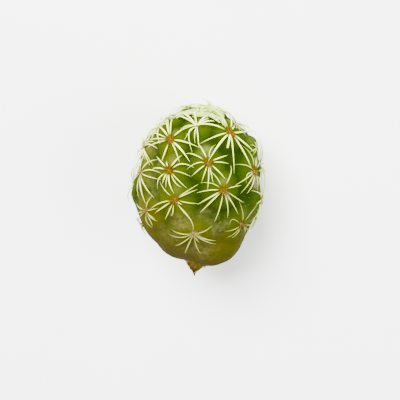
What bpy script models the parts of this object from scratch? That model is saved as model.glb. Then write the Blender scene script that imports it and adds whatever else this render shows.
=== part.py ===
"""Offset of a thimble cactus, as picked from its parent plant, lying on its side.

The stem is a short egg. Its axis runs along +Y, apex end first, and +Z is up.
Low tubercles cover the stem on a spiral, and each carries a star of curved spines.
It rests at Z = 0 on three of its lower tubercles, which its weight presses flat.
"""

import math
import random

import bpy
import numpy as np

MM = 0.001

# Stem: an egg of revolution about its axis, measured from its widest ring, the waist
STEM_RADIUS = 7.15 * MM
APEX_LENGTH = 10.1 * MM
BASE_LENGTH = 8.35 * MM
APEX_POWER = 2.17
BASE_POWER = 1.8
WAIST_CENTRE = (0.03 * MM, -0.35 * MM, 7.3 * MM)

# Swellings and a dent of the egg: direction from the waist, height and reach in millimetres
LOBES = (
    ((0.52, -0.82, 0.22), 1.3, 5.6),
    ((0.60, 0.79, -0.12), 0.8, 2.6),
    ((-0.70, 0.70, -0.12), 0.5, 3.0),
    ((0.42, 0.90, -0.12), -0.9, 2.4),
    ((-0.98, -0.18, 0.05), 0.4, 2.6),
    ((-0.34, -0.93, 0.14), 0.3, 3.0),
)

# Spiral of the areoles, numbered from the apex, with angles in radians
AREOLE_COUNT = 44
DIVERGENCE = math.radians(136.96)
SPIRAL_SCALE = 0.012
SPIRAL_START = 3.7
SPIRAL_POWER = 1.335
TOP_AREOLE = 20
TOP_BEARING = 0.115

# Tubercles: angle from the apex against height, half width and radius of the areole
POLAR_STEPS = (0.0, 0.3, 0.6, 1.2, 1.6, 2.1)
TUBERCLE_HEIGHTS = (0.25, 0.5, 0.68, 0.7, 0.5, 0.3)
TUBERCLE_REACHES = (0.9, 1.7, 2.3, 2.6, 2.8, 3.0)
AREOLE_RADII = (0.20, 0.28, 0.36, 0.40, 0.40, 0.38)
CREASE_SOFTNESS = 0.10 * MM
RESTING_TUBERCLES = (24, 29, 37)
PRESSED_DEPTH = 0.15 * MM

# Spines
SPINE_WIDTH = 0.25 * MM
SPINE_WIDTH_SPREAD = 0.2
SPINE_LENGTHS = (0.9, 1.3, 2.3, 2.8, 2.7, 2.2)
SPINE_COUNTS = (5, 6, 9, 11, 11, 10)
TIP_CLEARANCES = (0.22, 0.25, 0.2, 0.16, 0.16, 0.16)
SPINE_LENGTH_SPREAD = 0.22
WIDEST_EMPTY_ARC = math.radians(58.0)
SPINE_SPACING = math.radians(34.0)
SPINE_RISE = 0.08
SPINE_BOW = 0.05
LYING_HEIGHT = 0.4 * MM
FLOOR_CLEARANCE = 0.2 * MM
PRESSED_SHARE = 0.12
TURN_SPREAD = 0.2

# Three-sided section half way along a spine, as shares of the width at its root
MIDDLE_WIDTH = 0.85
SECTION_TOP = 0.3
SECTION_BOTTOM = 0.5

# Areole cushion that joins the roots of a star, with heights from the crown of its tubercle
ROOT_BOTTOM = 0.05 * MM
ROOT_TOP = 0.24 * MM
CUSHION_TOP = 0.32 * MM
CUSHION_FOOT = -0.50 * MM
CLOSEST_ROOTS = 0.24
ROOT_SWEEPS = 8
WIDEST_ROOT = 0.36
WIDEST_BARE_RIM = 1.4

# Stub of the stalk that joined the offset to its parent: rings of (place, radius)
STUB_RINGS = (
    ((0.72, -6.90, 1.75), 1.95),
    ((0.76, -8.05, 1.50), 1.38),
    ((0.88, -9.05, 1.20), 0.70),
    ((0.82, -9.53, 0.95), 0.30),
    ((0.86, -9.95, 0.75), 0.15),
)
STUB_TIP = (0.88, -10.42, 0.60)
STUB_SIDES = 8

# The stem's mesh is a cube with this many faces to an edge, drawn out to the egg
STEM_GRID = 15
SHARP_ANGLE = math.radians(50.0)

# The upper stars were measured in a flat plane through the waist, seen from an eye above it
EYE_TILT = 0.29
EYE_TURN = 0.118
EYE_DISTANCE = 120.0 * MM
SEARCHED_DEPTHS = (12.0, -5.0, 340)

# Upper stars: number, areole, length of the spines that fill its hidden side by rule as a
# share of the usual one, and its spines. Places are across and up in the measured plane,
# in millimetres. A spine is its tip, or a point it bends over and then its tip.
UPPER_STARS = (
    (7, (2.3, 9.8), 0.6, ((1.1, 11.3), (3.9, 10.1), (3.3, 9.0), (1.3, 9.3))),
    (9, (-3.4, 8.9), 0.7,
     ((-5.0, 8.4), (-0.8, 10.2), (-1.3, 9.8), (-3.3, 7.4), (-2.5, 10.2), (-4.4, 9.8))),
    (10, (4.8, 8.0), 0.5, ((6.0, 7.6), (3.9, 9.0), (5.3, 8.5), (5.9, 6.8))),
    (12, (0.0, 8.0), 0.0,
     ((-0.2, 9.9), (-1.9, 9.6), (-2.5, 9.2), (-1.9, 7.7), (1.6, 9.3), (1.5, 8.9), (2.2, 8.6),
      (0.3, 5.4), (-0.2, 6.0), (-0.9, 7.0, -0.5, 4.8), (-1.5, 6.3))),
    (14, (-4.5, 7.8), 0.8, ((-6.0, 6.4), (-5.6, 6.8), (-4.4, 5.9), (-5.4, 8.3), (-3.5, 8.7))),
    (15, (4.0, 7.2), 0.0,
     ((1.1, 8.0, -2.0, 7.4), (0.4, 5.9), (1.4, 3.8), (3.7, 5.4), (4.2, 5.2, 4.5, 2.3),
      (5.5, 4.7, 6.6, 2.9), (5.7, 5.75, 7.0, 4.8), (7.2, 7.5), (4.6, 8.0), (4.1, 9.8),
      (0.9, 10.2))),
    (17, (-3.1, 6.3), 0.0,
     ((-2.9, 9.0), (-3.7, 8.8), (-4.5, 7.9), (-5.7, 6.3), (-5.9, 5.4), (-3.8, 4.6, -4.2, 3.8),
      (-2.0, 3.5), (-0.8, 3.7), (-1.5, 6.0, 0.4, 5.4), (-0.9, 8.0), (-5.4, 7.2))),
    (18, (7.1, 5.3), 0.45, ((6.9, 6.2), (6.4, 5.8), (6.4, 5.0), (6.7, 4.5))),
    (20, (1.4, 3.6), 0.0,
     ((0.1, 6.0), (1.6, 5.0, 2.3, 5.8), (3.7, 4.5), (3.9, 3.5), (3.5, 1.6), (2.0, 1.1),
      (1.3, 0.3), (0.6, 1.3), (-0.6, 2.0), (0.0, 3.5, -1.2, 2.8), (-0.3, 4.5, -1.3, 4.7))),
    (22, (-6.3, 5.5), 0.8,
     ((-5.0, 6.1), (-4.4, 7.5), (-5.5, 6.6), (-5.2, 3.3), (-5.6, 3.3), (-6.2, 4.0),
      (-6.6, 4.4), (-4.7, 5.3))),
    (23, (6.9, 2.6), 1.0,
     ((4.5, 3.4), (6.4, 4.4, 5.4, 5.7), (6.9, 4.3), (6.0, 2.2, 6.0, 1.1), (4.6, 0.9), (5.2, -0.1),
      (6.0, -0.1), (7.2, 0.3), (8.4, 2.5), (7.6, -0.3), (7.1, 4.4), (7.5, 4.0))),
    (25, (-3.3, 2.7), 0.0,
     ((-4.8, 4.4), (-3.6, 3.8), (-1.8, 4.5), (-1.8, 3.4, -0.3, 3.0), (-0.6, 1.9), (-1.1, 0.5),
      (-2.5, 1.2, -1.8, 0.7), (-3.2, 1.2, -2.7, -0.1), (-3.7, 0.6), (-4.1, 1.1),
      (-4.4, 1.7, -4.7, 0.5), (-5.3, 2.9))),
    (28, (3.2, 0.4), 0.0,
     ((1.4, 2.8), (1.8, 1.1, 0.4, 1.2), (0.0, 0.0), (0.1, -1.4), (0.4, -2.4), (2.1, -3.5),
      (3.7, -3.0), (5.0, -2.6), (5.7, -1.2), (5.4, 0.9), (4.0, 2.2, 4.1, 3.3))),
    (30, (-6.7, 2.4), 1.0,
     ((-4.6, 4.0), (-5.4, 2.7, -4.2, 2.3), (-4.3, 1.6), (-5.1, -0.6), (-6.1, -1.3),
      (-6.9, -0.7), (-7.5, 1.7), (-7.7, 0.8), (-6.9, 4.6), (-6.3, 4.5))),
    (31, (7.6, -0.7), 0.7, ((6.5, 0.3), (7.3, -2.1, 6.4, -3.4), (7.8, 0.8), (7.1, -1.3))),
    (33, (-2.6, -0.8), 0.0,
     ((-4.4, 1.4), (0.3, 1.1), (0.1, 0.4), (0.3, -1.3), (-0.7, -3.1, -0.5, -4.5), (-0.6, -3.3),
      (-2.8, -2.3, -3.1, -2.7), (-3.8, -3.2), (-5.0, -2.4), (-4.3, -1.2, -5.6, -2.0),
      (-1.7, -1.4))),
    (36, (5.4, -3.7), 0.0,
     ((5.1, -1.0), (6.4, -2.2, 7.5, -0.9), (6.7, -3.7), (6.2, -4.5), (5.8, -4.8),
      (4.3, -3.1, 3.9, -3.9), (3.4, -4.6), (3.5, -5.4), (4.2, -5.4))),
    (38, (-6.0, -2.1), 0.0,
     ((-5.3, -0.3), (-7.2, -1.2), (-7.2, -2.5), (-6.9, -3.3), (-4.6, -1.8), (-4.7, -3.4),
      (-5.0, -3.1), (-5.4, -3.4, -5.3, -4.0), (-5.9, -3.3, -5.3, -4.2), (-7.0, -1.6))),
    (41, (-0.4, -4.9), 0.0,
     ((-3.0, -4.4), (-2.0, -5.2, -3.4, -4.9), (-2.6, -6.3), (-1.4, -7.2), (0.6, -7.3),
      (0.3, -5.9), (2.3, -6.1), (2.3, -5.7), (1.9, -3.9))),
    (43, (-6.5, -3.8), 0.6, ((-6.4, -4.5), (-7.3, -2.8))),
)

STEM_COLOUR = (0.20, 0.33, 0.06, 1.0)
STEM_ROUGHNESS = 0.45


def unit(vectors):
    """Vectors of length one, for one vector or for rows of them."""
    return vectors / np.linalg.norm(vectors, axis=-1, keepdims=True)


def polar_angle(directions):
    """Angle from the apex end of the axis."""
    return np.arccos(np.clip(directions[..., 1], -1.0, 1.0))


def by_polar(directions, millimetres):
    """A size that is given against the angle from the apex."""
    return np.interp(polar_angle(directions), POLAR_STEPS, millimetres) * MM


def egg_radius(directions):
    """Distance from the waist centre to the egg without its tubercles."""
    along = directions[..., 1]
    outward = np.hypot(directions[..., 0], directions[..., 2])
    length = np.where(along > 0.0, APEX_LENGTH, BASE_LENGTH)
    power = np.where(along > 0.0, APEX_POWER, BASE_POWER)
    egg = ((np.abs(along) / length) ** power + (outward / STEM_RADIUS) ** power) ** (-1.0 / power)
    swelling = 0.0
    for direction, height, reach in LOBES:
        apart = np.linalg.norm(directions - unit(np.array(direction)), axis=-1) * BASE_LENGTH
        swelling += height * MM * np.clip(1.0 - (apart / (reach * MM)) ** 2, 0.0, 1.0) ** 2
    return egg + swelling


def crown_radius(directions):
    """Distance from the waist centre to a smooth skin over the crowns of the tubercles."""
    return egg_radius(directions) + by_polar(directions, TUBERCLE_HEIGHTS)


def height_over_crowns(points):
    """How far outside the crowns' smooth skin each point is."""
    return np.linalg.norm(points, axis=-1) - crown_radius(unit(points))


def from_measured_plane(points):
    """Turn points from the axes of the measured plane to the stem's own axes."""
    across, up, depth = np.moveaxis(points, -1, 0)
    x = math.cos(EYE_TURN) * across - math.sin(EYE_TURN) * up
    leaned = math.sin(EYE_TURN) * across + math.cos(EYE_TURN) * up
    y = math.cos(EYE_TILT) * leaned + math.sin(EYE_TILT) * depth
    z = math.cos(EYE_TILT) * depth - math.sin(EYE_TILT) * leaned
    return np.stack((x, y, z), axis=-1)


def point_at_depth(across, up, depth):
    """The point at a depth that the eye sees at this place in the measured plane."""
    nearness = (EYE_DISTANCE - depth) / EYE_DISTANCE
    ray = np.stack((across * MM * nearness, up * MM * nearness, depth), axis=-1)
    return from_measured_plane(ray)


def point_seen_at(across, up, clearance):
    """The point over the crowns that the eye sees at this place in the measured plane."""
    ray = point_at_depth(across, up, np.linspace(*SEARCHED_DEPTHS) * MM)
    excess = height_over_crowns(ray) - clearance
    inside = np.flatnonzero(excess <= 0.0)
    return ray[inside[0]] if len(inside) else ray[np.argmin(excess)]


def tip_seen_at(areole, across, up, clearance):
    """Tip of a measured spine, lying over the crowns or standing out beyond their outline.

    One that stands out ends half way back to the depth of its areole.
    """
    tip = point_seen_at(across, up, clearance)
    if height_over_crowns(tip) <= LYING_HEIGHT:
        return tip
    towards_eye = np.array((0.0, math.sin(EYE_TILT), math.cos(EYE_TILT)))
    return point_at_depth(across, up, 0.5 * (tip + areole) @ towards_eye)


def areole_directions():
    """Direction of each areole from the waist centre, from the spiral or as measured."""
    numbers = np.arange(AREOLE_COUNT)
    polar = SPIRAL_SCALE * (numbers + SPIRAL_START) ** SPIRAL_POWER
    bearing = TOP_BEARING + DIVERGENCE * (numbers - TOP_AREOLE)
    directions = np.stack((np.sin(polar) * np.sin(bearing), np.cos(polar),
                           np.sin(polar) * np.cos(bearing)), axis=-1)
    for star in UPPER_STARS:
        directions[star[0]] = unit(point_seen_at(*star[1], 0.0))
    return directions


def tubercle_heights(directions):
    """Height of each tubercle over the egg. The resting ones reach just below the surface."""
    heights = by_polar(directions, TUBERCLE_HEIGHTS)
    for number in RESTING_TUBERCLES:
        reach = (WAIST_CENTRE[2] + PRESSED_DEPTH) / -directions[number, 2]
        heights[number] = reach - egg_radius(directions[number])
    return heights


def stem_surface(directions, areoles, heights):
    """Points of the stem's skin, from the waist centre, with soft creases between tubercles."""
    radius = egg_radius(directions)
    feet = areoles * egg_radius(areoles)[:, None]
    apart = np.linalg.norm((directions * radius[:, None])[:, None] - feet[None], axis=-1)
    domes = heights * (1.0 - (apart / by_polar(areoles, TUBERCLE_REACHES)) ** 2)
    raised = np.exp(np.clip(domes, 0.0, None) / CREASE_SOFTNESS) - 1.0
    relief = CREASE_SOFTNESS * np.log1p(raised.sum(axis=1))
    return directions * (radius + relief)[:, None]


def tangents(direction):
    """Two directions in the skin at an areole: towards the apex, and across."""
    across = unit(np.cross(direction, (0.0, 1.0, 0.0)))
    return np.cross(across, direction), across


def bend(start, over, end):
    """Control point of the curve that leaves start, passes over a point and ends at end."""
    return 2.0 * over - 0.5 * (start + end)


def spine(areole, tip, over, luck):
    """One spine: its start, control point, tip and width at the root."""
    start = areole + unit(tip - areole) * by_polar(unit(areole), AREOLE_RADII)
    start += unit(areole) * 0.5 * (ROOT_BOTTOM + ROOT_TOP)
    if over is None:
        side = unit(np.cross(areole, tip - start)) * np.linalg.norm(tip - start)
        over = 0.5 * (start + tip) + side * luck.uniform(-SPINE_BOW, SPINE_BOW)
    width = SPINE_WIDTH * luck.uniform(1.0 - SPINE_WIDTH_SPREAD, 1.0 + SPINE_WIDTH_SPREAD)
    return start, bend(start, over, tip), tip, width


def tip_by_rule(areole, angle, share, luck):
    """Tip of a spine that leaves its areole at this angle from the apex side."""
    towards_apex, across = tangents(unit(areole))
    length = share * by_polar(unit(areole), SPINE_LENGTHS)
    length *= luck.uniform(1.0 - SPINE_LENGTH_SPREAD, 1.0 + SPINE_LENGTH_SPREAD)
    reach = areole + length * (math.cos(angle) * towards_apex + math.sin(angle) * across)
    direction = unit(reach)
    return direction * (crown_radius(direction) + by_polar(direction, TIP_CLEARANCES))


def angle_of(areole, point):
    """Angle from the apex side at which a point lies round its areole."""
    towards_apex, across = tangents(unit(areole))
    return math.atan2((point - areole) @ across, (point - areole) @ towards_apex)


def angles_to_fill(angles):
    """Angles of extra spines wherever the star leaves a wide arc empty."""
    ordered = sorted(angles)
    extra = []
    for angle, following in zip(ordered, ordered[1:] + [ordered[0] + math.tau]):
        arc = following - angle
        if arc > WIDEST_EMPTY_ARC:
            count = round(arc / SPINE_SPACING) - 1
            extra += [angle + arc * (step + 1) / (count + 1) for step in range(count)]
    return extra


def star_spines(number, areole):
    """The spines of one star, measured ones first and then those placed by rule."""
    luck = random.Random(number)
    measured = {star[0]: star[2:] for star in UPPER_STARS}
    spines = []
    share = 1.0
    count = round(by_polar(unit(areole), SPINE_COUNTS) / MM)
    angles = [math.tau * (turn + luck.uniform(-TURN_SPREAD, TURN_SPREAD)) / count
              for turn in range(count)]
    if number in measured:
        share, places = measured[number]
        for place in places:
            clearance = by_polar(unit(areole), TIP_CLEARANCES)
            tip = tip_seen_at(areole, *place[-2:], clearance)
            over = point_seen_at(*place[:2], clearance) if len(place) == 4 else None
            spines.append(spine(areole, tip, over, luck))
        angles = angles_to_fill([angle_of(areole, made[2]) for made in spines]) if share else []
    for angle in angles:
        spines.append(spine(areole, tip_by_rule(areole, angle, share, luck), None, luck))
    return spines


def above_floor(point, clearance):
    """A point that would come closer to the surface than this is pressed to a thin layer."""
    lowest = clearance - WAIST_CENTRE[2]
    return point + np.array((0.0, 0.0, max(0.0, lowest - point[2]) * (1.0 - PRESSED_SHARE)))


def spine_point(made, share):
    """Point at a share of a spine's length.

    It is lifted to arch low over the crowns, or stays on its way to a tip that stands higher.
    """
    start, control, tip, width = made
    point = (1.0 - share) ** 2 * start + 2.0 * share * (1.0 - share) * control + share ** 2 * tip
    direction = unit(point)
    lift = (1.0 - share) * height_over_crowns(start)
    lift += share * min(height_over_crowns(tip), LYING_HEIGHT)
    lift += SPINE_RISE * np.linalg.norm(tip - start) * 4.0 * share * (1.0 - share)
    point = direction * max(np.linalg.norm(point), crown_radius(direction) + lift)
    return above_floor(point, FLOOR_CLEARANCE + 0.5 * width)


def root_angles(areole, spines):
    """Angle of each root round the cushion, spread so that no two are too close."""
    angles = [angle_of(areole, spine_point(made, 0.5)) for made in spines]
    order = sorted(range(len(spines)), key=lambda index: angles[index])
    spread = [angles[index] for index in order]
    for sweep in range(ROOT_SWEEPS):
        for place, angle in enumerate(spread):
            wrap = math.tau if place == len(spread) - 1 else 0.0
            following = (place + 1) % len(spread)
            lack = CLOSEST_ROOTS - (spread[following] + wrap - angle)
            if lack > 0.0:
                spread[place] -= 0.5 * lack
                spread[following] += 0.5 * lack
    return [spines[index] for index in order], spread


def cushion_rim(angles):
    """Corners round the cushion, and the corner before each root."""
    corners = []
    before = []
    for place, angle in enumerate(angles):
        wrap = math.tau if place == len(angles) - 1 else 0.0
        arc = angles[(place + 1) % len(angles)] + wrap - angle
        previous = angle - angles[place - 1] + (math.tau if place == 0 else 0.0)
        if previous > 2.0 * WIDEST_ROOT:
            corners.append(angle - WIDEST_ROOT)
        before.append(len(corners) - 1)
        if arc > 2.0 * WIDEST_ROOT:
            corners.append(angle + WIDEST_ROOT)
            bare = arc - 2.0 * WIDEST_ROOT
            extra = int(bare / WIDEST_BARE_RIM)
            corners += [corners[-1] + bare * (step + 1) / (extra + 1) for step in range(extra)]
        else:
            corners.append(angle + 0.5 * arc)
    return corners, before


def star_mesh(number, areole):
    """One closed mesh: a sunk cushion whose sides run out into three-sided spines."""
    spines, angles = root_angles(areole, star_spines(number, areole))
    corners, before = cushion_rim(angles)
    towards_apex, across = tangents(unit(areole))
    outward = unit(areole)
    radius = by_polar(outward, AREOLE_RADII)
    rim = [radius * (math.cos(angle) * towards_apex + math.sin(angle) * across)
           for angle in corners]
    count = len(rim)
    points = [areole + offset + outward * ROOT_TOP for offset in rim]
    points += [areole + offset + outward * ROOT_BOTTOM for offset in rim]
    points += [areole + outward * CUSHION_TOP, areole + outward * CUSHION_FOOT]
    points = [above_floor(point, FLOOR_CLEARANCE) for point in points]
    crown, foot = 2 * count, 2 * count + 1
    rooted = {corner % count: made for corner, made in zip(before, spines)}
    faces = []
    for left in range(count):
        right = (left + 1) % count
        faces.append((crown, left, right))
        faces.append((foot, count + right, count + left))
        if left in rooted:
            faces += spine_faces(points, rooted[left], (left, right, count + left, count + right))
        else:
            faces.append((count + left, count + right, right, left))
    return points, faces


def spine_faces(points, made, root):
    """Faces of one spine, from its four root corners over one ring to its tip."""
    upper_left, upper_right, lower_left, lower_right = root
    middle = spine_point(made, 0.5)
    tip = spine_point(made, 1.0)
    up = unit(middle)
    side = unit(np.cross(up, tip - middle))
    width = MIDDLE_WIDTH * made[3]
    left = len(points)
    right, below, end = left + 1, left + 2, left + 3
    points.append(middle - 0.5 * width * side + SECTION_TOP * width * up)
    points.append(middle + 0.5 * width * side + SECTION_TOP * width * up)
    points.append(middle - SECTION_BOTTOM * width * up)
    points.append(tip)
    return [
        (upper_left, left, right, upper_right),
        (lower_right, upper_right, right, below),
        (lower_left, below, left, upper_left),
        (lower_left, lower_right, below),
        (left, end, right),
        (right, end, below),
        (below, end, left),
    ]


def stub_mesh():
    """The tapered stub of the stalk, closed at its sunk end and drawn to a point."""
    points = []
    for place, radius in STUB_RINGS:
        for side in range(STUB_SIDES):
            turn = math.tau * side / STUB_SIDES
            offset = np.array((math.cos(turn), 0.0, math.sin(turn))) * radius
            points.append((np.array(place) + offset) * MM)
    points.append(np.array(STUB_TIP) * MM)
    faces = [tuple(range(STUB_SIDES - 1, -1, -1))]
    last = len(points) - 1
    for side in range(STUB_SIDES):
        following = (side + 1) % STUB_SIDES
        for ring in range(len(STUB_RINGS) - 1):
            low, high = ring * STUB_SIDES, (ring + 1) * STUB_SIDES
            faces.append((low + side, low + following, high + following, high + side))
        faces.append((high + side, high + following, last))
    return points, faces


def cube_sphere(grid):
    """Directions and quad faces of a cube's gridded faces, drawn out evenly to a sphere."""
    index = {}
    faces = []

    def corner(place):
        return index.setdefault(place, len(index))

    for axis in range(3):
        for end in (0, grid):
            for row in range(grid):
                for column in range(grid):
                    square = [(row, column), (row + 1, column),
                              (row + 1, column + 1), (row, column + 1)]
                    if end == 0:
                        square.reverse()
                    faces.append(tuple(corner(tuple(np.roll((end,) + pair, axis).tolist()))
                                       for pair in square))
    places = np.array(sorted(index, key=index.get)) / grid
    return unit(np.tan((places - 0.5) * 0.5 * math.pi)), faces


def add_object(name, points, faces, material):
    """An object whose mesh is moved from the waist centre to its place in the world."""
    mesh = bpy.data.meshes.new(name)
    placed = np.array(points) + np.array(WAIST_CENTRE)
    placed[:, 2] = np.clip(placed[:, 2], 0.0, None)
    mesh.from_pydata(placed.tolist(), [], faces)
    mesh.materials.append(material)
    mesh.validate()
    made = bpy.data.objects.new(name, mesh)
    bpy.context.scene.collection.objects.link(made)
    return made


def stem_material():
    """Waxy green skin."""
    material = bpy.data.materials.new("cactus_skin")
    material.use_nodes = True
    shader = material.node_tree.nodes["Principled BSDF"]
    shader.inputs["Base Color"].default_value = STEM_COLOUR
    shader.inputs["Roughness"].default_value = STEM_ROUGHNESS
    shader.inputs["Metallic"].default_value = 0.0
    return material


def join_to(stem, pieces):
    """Unite the pieces with the stem in one closed body.

    The solver is the manifold one, because the exact one leaves a few edges with four
    faces where spines cross.
    """
    group = bpy.data.collections.new("grown_on")
    bpy.context.scene.collection.children.link(group)
    for piece in pieces:
        bpy.context.scene.collection.objects.unlink(piece)
        group.objects.link(piece)
    union = stem.modifiers.new("grown_together", "BOOLEAN")
    union.operation = "UNION"
    union.operand_type = "COLLECTION"
    union.collection = group
    union.solver = "MANIFOLD"
    bpy.context.view_layer.objects.active = stem
    bpy.ops.object.modifier_apply(modifier=union.name)
    for piece in pieces:
        bpy.data.objects.remove(piece, do_unlink=True)
    bpy.data.collections.remove(group)


def build():
    """Clear the scene and model the cactus."""
    for old in list(bpy.data.objects):
        bpy.data.objects.remove(old, do_unlink=True)
    material = stem_material()
    areoles = areole_directions()
    heights = tubercle_heights(areoles)
    directions, faces = cube_sphere(STEM_GRID)
    skin = stem_surface(directions, areoles, heights)
    stem = add_object("thimble_cactus", skin, faces, material)
    crowns = stem_surface(areoles, areoles, heights)
    pieces = [add_object("stub", *stub_mesh(), material)]
    for number, crown in enumerate(crowns):
        pieces.append(add_object(f"star_{number:02d}", *star_mesh(number, crown), material))
    join_to(stem, pieces)
    stem.data.shade_smooth()
    stem.data.set_sharp_from_angle(angle=SHARP_ANGLE)


build()
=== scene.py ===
"""Looks of a thimble cactus offset lying on its side: waxy skin, glassy spines and dry stub.

The skin and the spines follow the same formulas and named values as the part, drawn out
finer. Points and directions are measured from the waist, the widest ring of the stem, with
the stem's axis along +Y, until a mesh is made. Sizes are in metres.
"""

import math
import random

import bpy
import numpy as np
from mathutils import Matrix, Vector, noise


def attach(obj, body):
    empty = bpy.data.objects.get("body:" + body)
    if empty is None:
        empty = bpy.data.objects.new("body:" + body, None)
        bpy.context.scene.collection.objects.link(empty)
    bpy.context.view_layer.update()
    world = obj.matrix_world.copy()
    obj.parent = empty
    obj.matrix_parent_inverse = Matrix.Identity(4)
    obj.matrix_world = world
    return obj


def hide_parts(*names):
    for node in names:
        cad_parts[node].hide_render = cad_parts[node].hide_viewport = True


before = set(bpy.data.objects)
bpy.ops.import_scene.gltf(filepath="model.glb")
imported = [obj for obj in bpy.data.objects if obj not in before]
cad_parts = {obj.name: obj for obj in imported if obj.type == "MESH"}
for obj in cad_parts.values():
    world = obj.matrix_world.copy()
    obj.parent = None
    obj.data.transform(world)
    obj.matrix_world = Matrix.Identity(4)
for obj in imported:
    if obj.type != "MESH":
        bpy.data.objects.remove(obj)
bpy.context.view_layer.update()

MM = 0.001
NODE = "thimble_cactus"

# Stem: an egg of revolution about its axis, measured from its widest ring, the waist
STEM_RADIUS = 7.15 * MM
APEX_LENGTH = 10.1 * MM
BASE_LENGTH = 8.35 * MM
APEX_POWER = 2.17
BASE_POWER = 1.8
WAIST_CENTRE = (0.03 * MM, -0.35 * MM, 7.3 * MM)

# Swellings and a dent of the egg: direction from the waist, height and reach in millimetres
LOBES = (
    ((0.52, -0.82, 0.22), 1.3, 5.6),
    ((0.60, 0.79, -0.12), 0.8, 2.6),
    ((-0.70, 0.70, -0.12), 0.5, 3.0),
    ((0.42, 0.90, -0.12), -0.9, 2.4),
    ((-0.98, -0.18, 0.05), 0.4, 2.6),
    ((-0.34, -0.93, 0.14), 0.3, 3.0),
)

# Spiral of the areoles, numbered from the apex, with angles in radians
AREOLE_COUNT = 44
DIVERGENCE = math.radians(136.96)
SPIRAL_SCALE = 0.012
SPIRAL_START = 3.7
SPIRAL_POWER = 1.335
TOP_AREOLE = 20
TOP_BEARING = 0.115

# Tubercles: angle from the apex against height, half width and radius of the areole
POLAR_STEPS = (0.0, 0.3, 0.6, 1.2, 1.6, 2.1)
TUBERCLE_HEIGHTS = (0.25, 0.5, 0.68, 0.7, 0.5, 0.3)
TUBERCLE_REACHES = (0.9, 1.7, 2.3, 2.6, 2.8, 3.0)
AREOLE_RADII = (0.20, 0.28, 0.36, 0.40, 0.40, 0.38)
CREASE_SOFTNESS = 0.10 * MM
RESTING_TUBERCLES = (24, 29, 37)
PRESSED_DEPTH = 0.15 * MM
SKIN_GRID = 96

# Soft dents of the skin: waves to a metre, and height
DENTS = ((700.0, 0.05 * MM), (2600.0, 0.012 * MM))

# Spines
SPINE_WIDTH = 0.25 * MM
SPINE_WIDTH_SPREAD = 0.2
SPINE_LENGTHS = (0.9, 1.3, 2.3, 2.8, 2.7, 2.2)
SPINE_COUNTS = (5, 6, 9, 11, 11, 10)
TIP_CLEARANCES = (0.22, 0.25, 0.2, 0.16, 0.16, 0.16)
SPINE_LENGTH_SPREAD = 0.22
WIDEST_EMPTY_ARC = math.radians(58.0)
SPINE_SPACING = math.radians(34.0)
SPINE_RISE = 0.08
SPINE_BOW = 0.05
LYING_HEIGHT = 0.4 * MM
FLOOR_CLEARANCE = 0.2 * MM
PRESSED_SHARE = 0.12
TURN_SPREAD = 0.2
ROOT_HEIGHT = 0.145 * MM
SPINE_SIDES = 8
SPINE_RINGS = 14

# Girth of a spine against the share of its length from the root, and how it varies
SPINE_SHARES = (0.0, 0.08, 0.3, 0.5, 0.75, 1.0)
SPINE_GIRTHS = (0.78, 0.60, 0.74, 0.76, 0.46, 0.06)
SLIMMEST_SPINE = 0.38
STOUTEST_SPINE = 0.84
SUNK_ROOT = -0.08
SUNK_SHARE = 0.35
SPINE_SEEDS = 64

# The upper stars were measured in a flat plane through the waist, seen from an eye above it
EYE_TILT = 0.29
EYE_TURN = 0.118
EYE_DISTANCE = 120.0 * MM
SEARCHED_DEPTHS = (12.0, -5.0, 340)

# Camera: middle of its view in the measured plane, and width of the view there
VIEW_MIDDLE = (0.384 * MM, -0.80 * MM)
VIEW_WIDTH = 48.0 * MM
SENSOR_WIDTH = 36.0
CLIP_RANGE = (0.001, 10.0)

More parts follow.
